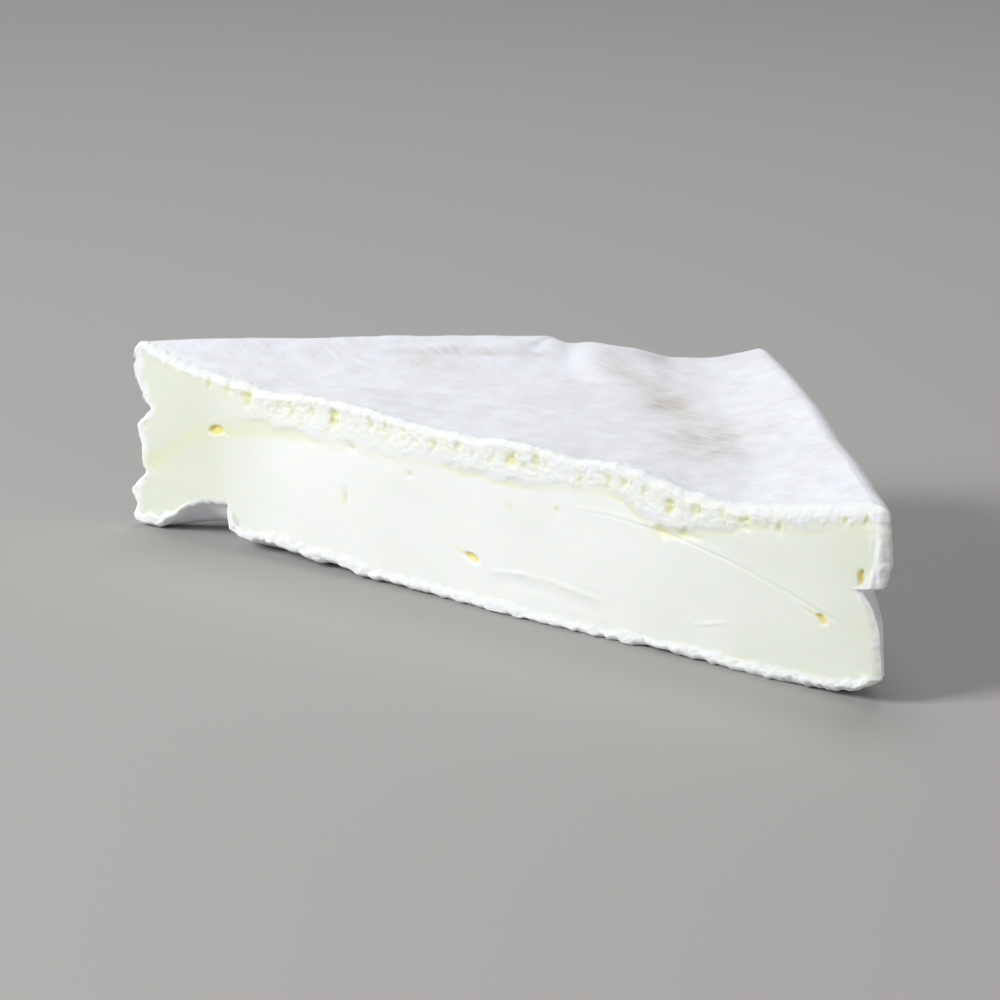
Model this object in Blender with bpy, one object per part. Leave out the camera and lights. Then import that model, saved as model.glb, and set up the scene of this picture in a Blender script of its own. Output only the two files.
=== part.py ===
"""Half of a square soft cheese with a white bloomy rind, cut from corner to corner.

One solid, in metres. The cut faces -Y, the square's own corner points to +Y, and the cheese lies
on its flat underside at Z = 0. In the functions below, x runs along the cut, f is the depth behind
the cut, and z is the height.
"""

import bpy
import numpy as np

MM = 0.001

# The piece as seen from above
HALF_CUT = 95.0 * MM
END_ROUND = 3.0 * MM
CORNER_ROUND = 3.0 * MM
END_WIDTH = 0.3 * MM

# Rounding of the rind where it turns down and under, and the belly of the sides
TOP_ROUND = 4.0 * MM
TOP_ROUND_AT_ENDS = 2.5 * MM
TOP_ROUND_GROWTH = 12.0 * MM
BOTTOM_ROUND = 8.0 * MM
BOTTOM_ROUND_AT_CUT = 2.0 * MM
BOTTOM_ROUND_GROWTH = 15.0 * MM
BELLY = 1.2 * MM
BELLY_GROWTH = 12.0 * MM

# Top of the cheese: the sunken middle, and how far the raised rims reach in from the two sides
MIDDLE_HEIGHT = 35.4 * MM
MIDDLE_REACH = 25.0 * MM
MIDDLE_WAVE = 0.45 * MM
WAVE_LENGTH = 15.0 * MM
LEFT_RIM_CREST = 1.5 * MM
LEFT_RIM_REACH = 6.5 * MM
LEFT_RIM_REACH_AT_MOUND = 15.0 * MM
LEFT_RIM_FALL = 1.4
LEFT_RIM_SOFTEN = 0.8 * MM
MOUND_START = -31.5 * MM
MOUND_RISE = 4.0 * MM
RIGHT_RIM_CREST = 2.0 * MM
RIGHT_RIM_REACH = 17.0 * MM
RIGHT_RIM_REACH_AT_CUT = 24.0 * MM
RIGHT_RIM_NARROWING = 22.0 * MM
RIGHT_RIM_FALL = 1.25
RIM_JOIN = 4

# Heights (x, z) of the top along the cut, and of the two rims along the sides
TOP_AT_CUT = MM * np.array([
    (-64, 35.4), (-60, 34.4), (-52, 35.3), (-40, 35.8), (-14, 34.4), (9, 35.6),
    (23, 34.6), (31, 35.8), (40, 35.1), (49, 33.3), (58, 32.9), (70, 33.0),
])
LEFT_RIM = MM * np.array([
    (-95, 39.4), (-84, 40.5), (-60, 41.0), (-32, 40.9), (-30.5, 39.8), (-27, 40.4),
    (-21, 39.3), (-15, 37.5), (-10, 37.0), (-6, 37.5), (0, 38.7),
])
RIGHT_RIM = MM * np.array([(0, 38.7), (13, 39.7), (40, 40.7), (59, 39.5), (72, 40.2), (95, 38.6)])

# Thin hollows in the top rind: x, f, radius and depth
TOP_HOLLOWS = MM * np.array([
    (-14.8, 61.7, 6.0, 0.8), (8.8, 48.6, 6.5, 1.0), (-12.1, 76.7, 5.0, 0.6), (29.2, 32.8, 7.0, 0.7),
])

# Lower edge (x, z) of the cut, the place where its corner is torn away, and how far in each reaches
BOTTOM_AT_CUT = MM * np.array([
    (-95, 0.9), (-89, 0.3), (-86, 1.4), (-68, 1.8), (-65, 1.6), (-59, 2.6), (-50, 2.2), (-44, 1.2),
    (-39, 2.2), (-34, 0.9), (-27, 0.6), (-17, 0.7), (-10, 0.3), (5, 0.0), (35, 0.0), (44, 0.9),
    (53, 0.4), (71, 0.0), (84, 0.9), (91, 1.6), (95, 3.6),
])
EDGE_REACH = 7.0 * MM
SCOOP_START = -88.0 * MM
SCOOP_TOP = -75.0 * MM
SCOOP_END = -67.0 * MM
SCOOP_STEP = 1.6 * MM
SCOOP_HEIGHT = 5.4 * MM
SCOOP_REACH = 17.0 * MM

# Torn outline (z, x) of the two ends of the cut, and how far it fades along the cut
LEFT_END = MM * np.array([
    (0, -94.6), (4.7, -93.9), (7.2, -95.6), (10.1, -93.2), (11.8, -91.2), (13.2, -92.4), (18, -92.8),
    (21.7, -94.4), (23.4, -92.3), (25.8, -90.4), (27.3, -92.7), (29.6, -93.4), (31.9, -95.1), (36, -95.4),
])
RIGHT_END = MM * np.array([
    (0, 91.8), (2.8, 92.6), (5.2, 95.8), (8.6, 95.2), (14.5, 94.2), (18.4, 92.4), (21.3, 90.4),
    (21.9, 90.6), (22.6, 94.6), (24.2, 95.2), (28.0, 96.2), (33, 95.6), (36, 95.2),
])
END_FADE = 8.0 * MM
TEAR_SOFTEN = 0.4 * MM

# The cut face: lower edge (x, z) of its crumbly band, the row of pits under the rind, and the eyes
BAND_EDGE = MM * np.array([
    (-95, 15), (-77, 23.4), (-62, 27), (-43, 27.3), (-22, 27.6), (-13, 28.4), (3, 27.4), (16, 27.8),
    (28, 29.9), (34, 29), (42, 24.4), (53, 26.4), (64, 29.6), (95, 34),
])
BAND_STEP = 0.6 * MM
BAND_SLOPE = 1.6 * MM
CRUMB_SIZE = 2.4 * MM
CRUMB_HEIGHT = 0.5 * MM
PIT_PLACES = MM * np.array([
    -74, -68.5, -63.7, -54.8, -51.8, -46.2, -40.3, -30.7, -26.8, -21.5, -13.7, -7.3, 0.9, 6.0,
    9.0, 12.2, 23.1, 30.1, 34.0, 39.4, 45.6, 52.0, 58.4, 63.2, 71.1, 85.9, 90.9,
])
LARGE_PITS = MM * np.array([-63.7, -40.3, 6.0, 30.1, 45.6, 63.2])
PIT_DROP = 3.6 * MM
PIT_RADIUS = 1.1 * MM
LARGE_PIT_RADIUS = 1.7 * MM
PIT_DEPTH = 1.3 * MM
EYES = MM * np.array([
    (-71.9, 24.3, 2.8, 1.3, 2.2), (-35.5, 27.1, 1.5, 1.0, 1.2), (-36.5, 16.5, 1.0, 1.8, 1.3),
    (-19.9, 24.4, 1.4, 0.9, 1.0), (-3.3, 10.2, 2.4, 1.1, 2.0), (81.8, 14.5, 2.0, 1.1, 2.0),
    (46.0, 24.7, 3.2, 1.2, 1.8), (90.2, 22.8, 1.6, 1.6, 1.6),
])
BEAD_SIZE = 2.6 * MM
BEAD_HEIGHT = 0.6 * MM
BEAD_STAND = 0.24 * MM
BEAD_ZONE = 2.6 * MM
FACE_WAVE = 0.35 * MM
FACE_WAVE_LENGTH = 18.0 * MM
FULL_RELIEF_WIDTH = 9.0 * MM

# Random heights: size of their table, and the seed of each kind of lump
LUMP_TABLE = 128
MIDDLE_SEED = 3
FACE_SEED = 5
CRUMB_SEED = 7
BEAD_SEED = 11

# Fineness of the mesh, and how much closer its stations stand at the two ends
STATIONS = 97
END_CROWDING = 0.3
CUT_ROWS = 18
TOP_ROWS = 11
TOP_ROUND_ROWS = 5
SIDE_ROWS = 14
BOTTOM_ROUND_ROWS = 4
BOTTOM_ROWS = 6
SHARP_ANGLE = np.radians(50)

# Finish of the rind and the paste seen together
CHEESE_COLOR = (0.80, 0.79, 0.70, 1.0)
CHEESE_ROUGHNESS = 0.55


def ease(t):
    """Rises from 0 to 1 as t does, level at both ends."""
    t = np.clip(t, 0, 1)
    return t * t * (3 - 2 * t)


def curve(at, points, soften=1.5 * MM):
    """Height of a line through the points, its corners softened over a little width."""
    steps = soften * np.array([-1, -0.5, 0, 0.5, 1])
    return sum(np.interp(at + step, points[:, 0], points[:, 1]) for step in steps) / len(steps)


def lumps(u, v, seed):
    """Smooth random heights between -1 and 1, about one lump to each unit of u and v."""
    table = np.random.default_rng(seed).uniform(-1, 1, (LUMP_TABLE, LUMP_TABLE))
    across = ease(u - np.floor(u))
    along = ease(v - np.floor(v))
    column = np.floor(u).astype(int) % LUMP_TABLE
    row = np.floor(v).astype(int) % LUMP_TABLE
    next_column = (column + 1) % LUMP_TABLE
    next_row = (row + 1) % LUMP_TABLE
    low = table[column, row] * (1 - across) + table[next_column, row] * across
    high = table[column, next_row] * (1 - across) + table[next_column, next_row] * across
    return low * (1 - along) + high * along


def hollow(x, z, middle_x, middle_z, half_width, half_height):
    """A round dip, 1 in its middle and 0 outside."""
    return np.exp(-(((x - middle_x) / half_width) ** 2) - ((z - middle_z) / half_height) ** 2)


def plan(x):
    """How deep the piece is behind the cut at x, and how steeply that changes along the cut."""
    inward = HALF_CUT + END_WIDTH - np.hypot(x, CORNER_ROUND)
    depth = np.sqrt(inward**2 + 2 * END_ROUND * inward)
    slope = -(inward + END_ROUND) / depth * x / np.hypot(x, CORNER_ROUND)
    return depth, slope


def from_side(x, f):
    """Level distance of a point from the rind at the side."""
    depth, slope = plan(x)
    return (depth - f) / np.sqrt(1 + slope**2)


def turned(distance, radius):
    """How far a rounded edge has dropped at this distance from the side."""
    inside = np.clip(radius - distance, 0, radius)
    return radius - np.sqrt(radius**2 - inside**2)


def top_height(x, f):
    """Height of the top: its sunken middle, the two raised rims, and the rounding at the sides."""
    at_cut = curve(x, TOP_AT_CUT)
    waves = MIDDLE_WAVE * lumps(x / WAVE_LENGTH, f / WAVE_LENGTH, MIDDLE_SEED)
    middle = at_cut + (MIDDLE_HEIGHT + waves - at_cut) * ease(f / MIDDLE_REACH)

    from_left = (HALF_CUT + x - f) / np.sqrt(2)
    along_left = (x + f - HALF_CUT) / 2
    mound = ease((along_left - MOUND_START) / MOUND_RISE)
    reach = LEFT_RIM_REACH + (LEFT_RIM_REACH_AT_MOUND - LEFT_RIM_REACH) * mound
    left = np.exp(-(np.clip(from_left - LEFT_RIM_CREST, 0, None) / reach) ** LEFT_RIM_FALL)
    left = left * np.clip(curve(along_left, LEFT_RIM, LEFT_RIM_SOFTEN) - middle, 0, None)

    from_right = (HALF_CUT - x - f) / np.sqrt(2)
    along_right = (x - f + HALF_CUT) / 2
    at_face = 1 - ease(f / RIGHT_RIM_NARROWING)
    reach = RIGHT_RIM_REACH + (RIGHT_RIM_REACH_AT_CUT - RIGHT_RIM_REACH) * at_face
    right = np.clip((reach - from_right) / (reach - RIGHT_RIM_CREST), 0, 1) ** RIGHT_RIM_FALL
    right = right * np.clip(curve(along_right, RIGHT_RIM) - middle, 0, None)

    height = middle + (left**RIM_JOIN + right**RIM_JOIN) ** (1 / RIM_JOIN)
    for hollow_x, hollow_f, radius, depth in TOP_HOLLOWS:
        height = height - depth * hollow(x, f, hollow_x, hollow_f, radius, radius)
    radius = TOP_ROUND_AT_ENDS + (TOP_ROUND - TOP_ROUND_AT_ENDS) * ease(f / TOP_ROUND_GROWTH)
    return height - turned(from_side(x, f), radius)


def bottom_height(x, f):
    """Height of the underside: flat, lifted along the cut, scooped out and rounded at the sides."""
    edge = curve(x, BOTTOM_AT_CUT) * (1 - ease(f / EDGE_REACH))
    rise = ease((x - SCOOP_START) / (SCOOP_TOP - SCOOP_START))
    fall = ease((SCOOP_END - x) / SCOOP_STEP)
    scoop = SCOOP_HEIGHT * rise * fall * (1 - ease(f / SCOOP_REACH))
    radius = BOTTOM_ROUND_AT_CUT + (BOTTOM_ROUND - BOTTOM_ROUND_AT_CUT) * ease(f / BOTTOM_ROUND_GROWTH)
    return edge + scoop + turned(from_side(x, f), radius)


def cut_relief(x, z):
    """How far the cut face stands out at a point, less than nothing in a hollow."""
    top = top_height(x, 0 * x)
    bottom = bottom_height(x, 0 * x)
    edge = curve(x, BAND_EDGE)
    band = ease((z - edge) / BAND_SLOPE)
    crumbs = lumps(x / CRUMB_SIZE, z / CRUMB_SIZE, CRUMB_SEED)
    relief = FACE_WAVE * lumps(x / FACE_WAVE_LENGTH, z / FACE_WAVE_LENGTH, FACE_SEED)
    relief = relief + band * (BAND_STEP + CRUMB_HEIGHT * crumbs)
    near_bottom = np.clip(1 - (z - bottom) / BEAD_ZONE, 0, 1)
    beads = BEAD_STAND + BEAD_HEIGHT * lumps(x / BEAD_SIZE, z / BEAD_SIZE, BEAD_SEED)
    relief = relief + near_bottom * beads
    for place in PIT_PLACES:
        radius = LARGE_PIT_RADIUS if place in LARGE_PITS else PIT_RADIUS
        relief = relief - PIT_DEPTH * hollow(x, z, place, top - PIT_DROP, radius, radius)
    for eye_x, eye_z, half_width, half_height, depth in EYES:
        relief = relief - depth * hollow(x, z, eye_x, eye_z, half_width, half_height)
    return relief * ease(plan(x)[0] / FULL_RELIEF_WIDTH)


def end_shift(x, z):
    """How far the torn ends pull a point along the cut."""
    left = np.exp(-(((x + HALF_CUT) / END_FADE) ** 2))
    right = np.exp(-(((x - HALF_CUT) / END_FADE) ** 2))
    left_tear = curve(z, LEFT_END, TEAR_SOFTEN) + HALF_CUT
    right_tear = curve(z, RIGHT_END, TEAR_SOFTEN) - HALF_CUT
    return left_tear * left + right_tear * right


def rows_across(depth, slope, radius, flat_rows, round_rows):
    """Distances behind the cut: even ones, then closer ones where the rind rounds over."""
    rounded = np.minimum(radius * np.sqrt(1 + slope**2), depth / 2)
    even = np.linspace(0, 1, flat_rows, endpoint=False)
    angles = np.linspace(0, np.pi / 2, round_rows + 1)
    flat = (depth - rounded)[:, None] * even
    turn = depth[:, None] - rounded[:, None] * (1 - np.sin(angles))
    return np.concatenate([flat, turn], axis=1)


def surface_points():
    """The closed outline of the piece at each station along the cut, as a grid of points."""
    steps = np.linspace(-1, 1, STATIONS)
    x = HALF_CUT * ((1 - END_CROWDING) * steps + END_CROWDING * np.sin(steps * np.pi / 2))
    depth, slope = plan(x)
    zero = np.zeros(STATIONS)

    top_f = rows_across(depth, slope, TOP_ROUND, TOP_ROWS, TOP_ROUND_ROWS)
    bottom_f = rows_across(depth, slope, BOTTOM_ROUND, BOTTOM_ROWS, BOTTOM_ROUND_ROWS)[:, ::-1]
    top_z = top_height(x[:, None], top_f)
    bottom_z = bottom_height(x[:, None], bottom_f)

    down = np.linspace(0, 1, SIDE_ROWS + 2)[None, 1:-1]
    side_z = top_z[:, -1:] + (bottom_z[:, :1] - top_z[:, -1:]) * down
    out = BELLY * np.sin(np.pi * down) * ease(depth / BELLY_GROWTH)[:, None]
    across = np.sqrt(1 + slope**2)[:, None]
    side_x = x[:, None] - out * slope[:, None] / across
    side_f = depth[:, None] + out / across

    up = np.linspace(0, 1, CUT_ROWS + 1)[None, 1:-1]
    low = bottom_height(x, zero)[:, None]
    high = top_height(x, zero)[:, None]
    cut_z = low + (high - low) * up
    cut_x = np.broadcast_to(x[:, None], cut_z.shape)
    cut_f = -cut_relief(cut_x, cut_z)

    grid_x = np.concatenate([x[:, None] + 0 * top_f, side_x, x[:, None] + 0 * bottom_f, cut_x], axis=1)
    grid_f = np.concatenate([top_f, side_f, bottom_f, cut_f], axis=1)
    grid_z = np.concatenate([top_z, side_z, bottom_z, cut_z], axis=1)
    grid_x = grid_x + end_shift(grid_x, grid_z)
    return np.stack([grid_x, grid_f, grid_z], axis=2)


def end_faces(heights):
    """Triangles that close an outline, joining its cut side to its rind side level by level."""
    around = len(heights)
    low = int(np.argmin(heights))
    high = int(np.argmax(heights))
    front = [(low + step) % around for step in range((high - low) % around + 1)]
    back = [(low - step) % around for step in range((low - high) % around + 1)]
    faces = []
    at_front = at_back = 0
    while at_front < len(front) - 1 or at_back < len(back) - 1:
        front_next = front[min(at_front + 1, len(front) - 1)]
        back_next = back[min(at_back + 1, len(back) - 1)]
        front_is_done = at_front == len(front) - 1
        front_is_lower = heights[front_next] <= heights[back_next]
        if not front_is_done and (front_is_lower or at_back == len(back) - 1):
            triangle = (front[at_front], front_next, back[at_back])
            at_front += 1
        else:
            triangle = (front[at_front], back_next, back[at_back])
            at_back += 1
        if len(set(triangle)) == 3:
            faces.append(triangle)
    return faces


def cheese_mesh():
    points = surface_points()
    stations, around = points.shape[:2]
    flat = points.reshape(-1, 3)
    low, high = flat.min(axis=0), flat.max(axis=0)
    flat = flat - np.array([(low[0] + high[0]) / 2, (low[1] + high[1]) / 2, low[2]])

    faces = []
    for station in range(stations - 1):
        for step in range(around):
            here = station * around + step
            beside = station * around + (step + 1) % around
            faces.append((here, here + around, beside + around, beside))
    last = (stations - 1) * around
    faces += end_faces(points[0, :, 2])
    faces += [tuple(last + corner for corner in reversed(face)) for face in end_faces(points[-1, :, 2])]

    mesh = bpy.data.meshes.new("cheese_wedge")
    mesh.from_pydata(flat.tolist(), [], faces)
    mesh.validate()
    mesh.shade_smooth()
    mesh.set_sharp_from_angle(angle=SHARP_ANGLE)
    return mesh


def cheese_material():
    material = bpy.data.materials.new("cheese")
    material.use_nodes = True
    shader = material.node_tree.nodes["Principled BSDF"]
    shader.inputs["Base Color"].default_value = CHEESE_COLOR
    shader.inputs["Roughness"].default_value = CHEESE_ROUGHNESS
    shader.inputs["Metallic"].default_value = 0.0
    return material


for old in list(bpy.data.objects):
    bpy.data.objects.remove(old, do_unlink=True)

cheese = bpy.data.objects.new("cheese_wedge", cheese_mesh())
cheese.data.materials.append(cheese_material())
bpy.context.scene.collection.objects.link(cheese)
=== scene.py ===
"""Half of a square soft cheese with a white bloomy rind, cut from corner to corner."""

import bpy
import numpy as np
from mathutils import Matrix, Vector


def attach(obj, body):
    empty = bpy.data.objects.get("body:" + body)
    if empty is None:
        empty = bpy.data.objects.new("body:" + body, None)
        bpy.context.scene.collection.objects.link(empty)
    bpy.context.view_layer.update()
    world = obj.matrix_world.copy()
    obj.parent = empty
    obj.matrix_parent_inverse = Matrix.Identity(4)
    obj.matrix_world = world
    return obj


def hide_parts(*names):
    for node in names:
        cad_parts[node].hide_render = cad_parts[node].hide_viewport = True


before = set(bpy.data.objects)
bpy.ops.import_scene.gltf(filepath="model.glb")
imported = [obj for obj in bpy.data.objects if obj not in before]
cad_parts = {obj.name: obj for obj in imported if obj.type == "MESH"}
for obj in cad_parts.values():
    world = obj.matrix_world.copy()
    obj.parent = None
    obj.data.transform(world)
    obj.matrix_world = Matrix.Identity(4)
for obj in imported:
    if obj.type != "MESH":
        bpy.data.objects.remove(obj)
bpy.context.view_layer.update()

# The cheese
# One piece: a skin of white mould, felted and faintly ribbed by the mat it lay on, round a soft
# ripened paste. The middle sank and the rims stayed high. The knife left crumbs and a row of small
# pits under the top rind. x runs along the cut, f is the depth behind it and z the height.

MM = 0.001
HALF_CUT = 95.0 * MM
END_ROUND = 3.0 * MM
CORNER_ROUND = 3.0 * MM
END_WIDTH = 0.3 * MM
TOP_ROUND = 4.0 * MM
TOP_ROUND_AT_ENDS = 2.5 * MM
TOP_ROUND_GROWTH = 12.0 * MM
BOTTOM_ROUND = 8.0 * MM
BOTTOM_ROUND_AT_CUT = 2.0 * MM
BOTTOM_ROUND_GROWTH = 15.0 * MM
BELLY = 1.2 * MM
BELLY_GROWTH = 12.0 * MM

# Top: the sunken middle, and how far the raised rims reach in from the two sides
MIDDLE_HEIGHT = 35.4 * MM
MIDDLE_REACH = 25.0 * MM
MIDDLE_WAVE = 0.45 * MM
WAVE_LENGTH = 15.0 * MM
MIDDLE_SEED = 3
LEFT_RIM_CREST = 1.5 * MM
LEFT_RIM_REACH = 6.5 * MM
LEFT_RIM_REACH_AT_MOUND = 15.0 * MM
LEFT_RIM_FALL = 1.4
LEFT_RIM_SOFTEN = 0.8 * MM
MOUND_START = -31.5 * MM
MOUND_RISE = 8.0 * MM
RIGHT_RIM_CREST = 2.0 * MM
RIGHT_RIM_REACH = 17.0 * MM
RIGHT_RIM_REACH_AT_CUT = 24.0 * MM
RIGHT_RIM_NARROWING = 22.0 * MM
RIGHT_RIM_FALL = 1.25
RIM_JOIN = 4

# Heights (x, z) of the top along the cut, and of the two rims along the sides
TOP_AT_CUT = MM * np.array([
    (-64, 35.4), (-60, 34.4), (-52, 35.3), (-40, 35.8), (-14, 34.4), (9, 35.6),
    (23, 34.6), (31, 35.8), (40, 35.1), (49, 33.3), (58, 32.9), (70, 33.0),
])
LEFT_RIM = MM * np.array([
    (-95, 39.4), (-84, 40.5), (-60, 41.0), (-32, 40.9), (-30.5, 39.8), (-27, 40.4),
    (-21, 39.3), (-15, 37.5), (-10, 37.0), (-6, 37.5), (0, 38.7),
])
RIGHT_RIM = MM * np.array([(0, 38.7), (13, 39.7), (40, 40.7), (59, 39.5), (72, 40.2), (95, 38.6)])

# Hollows in the top: x, f, radius and depth
TOP_HOLLOWS = MM * np.array([
    (-14.8, 61.7, 6.0, 0.8), (8.8, 48.6, 6.5, 1.0), (-12.1, 76.7, 5.0, 0.6), (29.2, 32.8, 7.0, 0.7),
])

# Lower edge (x, z) of the cut, the place where its corner is torn away, and how far in each reaches
BOTTOM_AT_CUT = MM * np.array([
    (-95, 0.9), (-89, 0.3), (-86, 1.4), (-68, 3.6), (-66.6, 4.2), (-65.2, 2.6), (-63.4, 1.9),
    (-59, 2.8), (-50, 2.2), (-44, 1.2), (-39, 2.2), (-34, 0.9), (-27, 0.6), (-17, 0.7),
    (-10, 0.3), (5, 0.0), (35, 0.0), (44, 0.9), (53, 0.4), (71, 0.0), (84, 0.9), (91, 1.6),
    (95, 3.6),
])
EDGE_REACH = 7.0 * MM
SCOOP_START = -88.0 * MM
SCOOP_TOP = -75.0 * MM
SCOOP_END = -67.0 * MM
SCOOP_STEP = 1.6 * MM
SCOOP_HEIGHT = 5.4 * MM
SCOOP_REACH = 17.0 * MM

# Torn outline (z, x) of the two ends of the cut, its small tufts, and how far each fades
LEFT_END = MM * np.array([
    (0, -94.6), (4.7, -93.9), (7.2, -95.6), (10.1, -93.2), (11.8, -91.2), (13.2, -92.4),
    (18, -92.8), (21.7, -94.4), (23.4, -92.3), (25.8, -90.4), (27.3, -92.7), (29.6, -93.4),
    (31.9, -95.1), (36, -95.4),
])
RIGHT_END = MM * np.array([
    (0, 91.8), (2.8, 92.6), (5.2, 95.8), (8.6, 95.2), (14.5, 94.2), (18.4, 92.4), (21.3, 90.2),
    (21.9, 90.4), (22.5, 94.6), (24.2, 95.2), (28.0, 96.2), (33, 95.6), (36, 95.2),
])
LEFT_END_FADE = 8.0 * MM
RIGHT_END_FADE = 13.0 * MM
TEAR_SOFTEN = 0.4 * MM
TUFT_HEIGHT = 0.17 * MM
TUFT = 1.1 * MM
SMALL_TUFT = 0.6 * MM
TUFT_REACH = 1.6 * MM
TUFT_SEED = 81
SMALL_TUFT_SEED = 82

# Where the frame's origin is, seen from the middle of the cut
ORIGIN = np.array([0.33, 47.62, 0.0]) * MM

# Size of the tables of random heights and places, and how much a line's corners are softened
LUMP_TABLE = 128
BEAD_TABLE = 64
BEAD_PLACES = (0.1, 0.9)
FAR_AWAY = 9.0
SOFTEN = 1.5 * MM


def ease(t):
    """Rises from 0 to 1 as t does, level at both ends."""
    t = np.clip(t, 0, 1)
    return t * t * (3 - 2 * t)


def curve(at, points, soften=SOFTEN):
    """Height of a line through the points, its corners softened over a little width."""
    steps = soften * np.array([-1, -0.5, 0, 0.5, 1])
    return sum(np.interp(at + step, points[:, 0], points[:, 1]) for step in steps) / len(steps)


def lumps(u, v, seed):
    """Smooth random heights between -1 and 1, about one lump to each unit of u and v."""
    table = np.random.default_rng(seed).uniform(-1, 1, (LUMP_TABLE, LUMP_TABLE))
    column = np.floor(u).astype(int)
    row = np.floor(v).astype(int)
    across = ease(u - column)
    along = ease(v - row)
    here = column % LUMP_TABLE
    beside = (column + 1) % LUMP_TABLE
    low_row = row % LUMP_TABLE
    high_row = (row + 1) % LUMP_TABLE
    low = table[here, low_row] * (1 - across) + table[beside, low_row] * across
    high = table[here, high_row] * (1 - across) + table[beside, high_row] * across
    return low * (1 - along) + high * along


def beads(u, v, seed):
    """Round lumps packed side by side, 1 on their tops and 0 in the grooves between them."""
    places = np.random.default_rng(seed).uniform(*BEAD_PLACES, (BEAD_TABLE, BEAD_TABLE, 2))
    column = np.floor(u).astype(int)
    row = np.floor(v).astype(int)
    nearest = np.full(np.shape(u), FAR_AWAY)
    for right in (-1, 0, 1):
        for up in (-1, 0, 1):
            middle = places[(column + right) % BEAD_TABLE, (row + up) % BEAD_TABLE]
            away = (u - column - right - middle[..., 0]) ** 2 + (v - row - up - middle[..., 1]) ** 2
            nearest = np.minimum(nearest, away)
    return np.sqrt(np.clip(1 - nearest, 0, 1))


def hollow(x, z, middle_x, middle_z, half_width, half_height):
    """A round dip, 1 in its middle and 0 outside."""
    return np.exp(-(((x - middle_x) / half_width) ** 2) - ((z - middle_z) / half_height) ** 2)


def plan(x):
    """How deep the piece is behind the cut at x, and how steeply that changes along the cut."""
    inward = HALF_CUT + END_WIDTH - np.hypot(x, CORNER_ROUND)
    depth = np.sqrt(inward**2 + 2 * END_ROUND * inward)
    slope = -(inward + END_ROUND) / depth * x / np.hypot(x, CORNER_ROUND)
    return depth, slope


def from_side(x, f):
    """Level distance of a point from the rind at the side."""
    depth, slope = plan(x)
    return (depth - f) / np.sqrt(1 + slope**2)


def turned(distance, radius):
    """How far a rounded edge has dropped at this distance from the side."""
    inside = np.clip(radius - distance, 0, radius)
    return radius - np.sqrt(radius**2 - inside**2)


def top_height(x, f):
    """Height of the top: its sunken middle, the two raised rims, and the rounding at the sides."""
    at_cut = curve(x, TOP_AT_CUT)
    waves = MIDDLE_WAVE * lumps(x / WAVE_LENGTH, f / WAVE_LENGTH, MIDDLE_SEED)
    middle = at_cut + (MIDDLE_HEIGHT + waves - at_cut) * ease(f / MIDDLE_REACH)

    from_left = (HALF_CUT + x - f) / np.sqrt(2)
    along_left = (x + f - HALF_CUT) / 2
    mound = ease((along_left - MOUND_START) / MOUND_RISE)
    reach = LEFT_RIM_REACH + (LEFT_RIM_REACH_AT_MOUND - LEFT_RIM_REACH) * mound
    left = np.exp(-(np.clip(from_left - LEFT_RIM_CREST, 0, None) / reach) ** LEFT_RIM_FALL)
    left = left * np.clip(curve(along_left, LEFT_RIM, LEFT_RIM_SOFTEN) - middle, 0, None)

    from_right = (HALF_CUT - x - f) / np.sqrt(2)
    along_right = (x - f + HALF_CUT) / 2
    at_face = 1 - ease(f / RIGHT_RIM_NARROWING)
    reach = RIGHT_RIM_REACH + (RIGHT_RIM_REACH_AT_CUT - RIGHT_RIM_REACH) * at_face
    right = np.clip((reach - from_right) / (reach - RIGHT_RIM_CREST), 0, 1) ** RIGHT_RIM_FALL
    right = right * np.clip(curve(along_right, RIGHT_RIM) - middle, 0, None)

    height = middle + (left**RIM_JOIN + right**RIM_JOIN) ** (1 / RIM_JOIN)
    for hollow_x, hollow_f, radius, depth in TOP_HOLLOWS:
        height = height - depth * hollow(x, f, hollow_x, hollow_f, radius, radius)
    radius = TOP_ROUND_AT_ENDS + (TOP_ROUND - TOP_ROUND_AT_ENDS) * ease(f / TOP_ROUND_GROWTH)
    return height - turned(from_side(x, f), radius)


def bottom_height(x, f):
    """Height of the underside: flat, lifted along the cut, scooped out and rounded at the sides."""
    edge = curve(x, BOTTOM_AT_CUT) * (1 - ease(f / EDGE_REACH))
    rise = ease((x - SCOOP_START) / (SCOOP_TOP - SCOOP_START))
    fall = ease((SCOOP_END - x) / SCOOP_STEP)
    scoop = SCOOP_HEIGHT * rise * fall * (1 - ease(f / SCOOP_REACH))
    radius = BOTTOM_ROUND_AT_CUT + (BOTTOM_ROUND - BOTTOM_ROUND_AT_CUT) * ease(f / BOTTOM_ROUND_GROWTH)
    return edge + scoop + turned(from_side(x, f), radius)


def end_shift(x, z):
    """How far the torn ends pull a point along the cut."""
    left = np.exp(-(((x + HALF_CUT) / LEFT_END_FADE) ** 2))
    right = np.exp(-(((x - HALF_CUT) / RIGHT_END_FADE) ** 2))
    left_tear = curve(z, LEFT_END, TEAR_SOFTEN) + HALF_CUT
    tufts = lumps(z / TUFT, 0 * z, TUFT_SEED) + 0.8 * lumps(z / SMALL_TUFT, 0 * z, SMALL_TUFT_SEED)
    tufts = TUFT_HEIGHT * tufts
    fringe = np.exp(-(((abs(x) - HALF_CUT) / TUFT_REACH) ** 2)) * np.sign(x)
    right_tear = curve(z, RIGHT_END, TEAR_SOFTEN) - HALF_CUT
    return left_tear * left + right_tear * right + tufts * fringe


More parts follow.
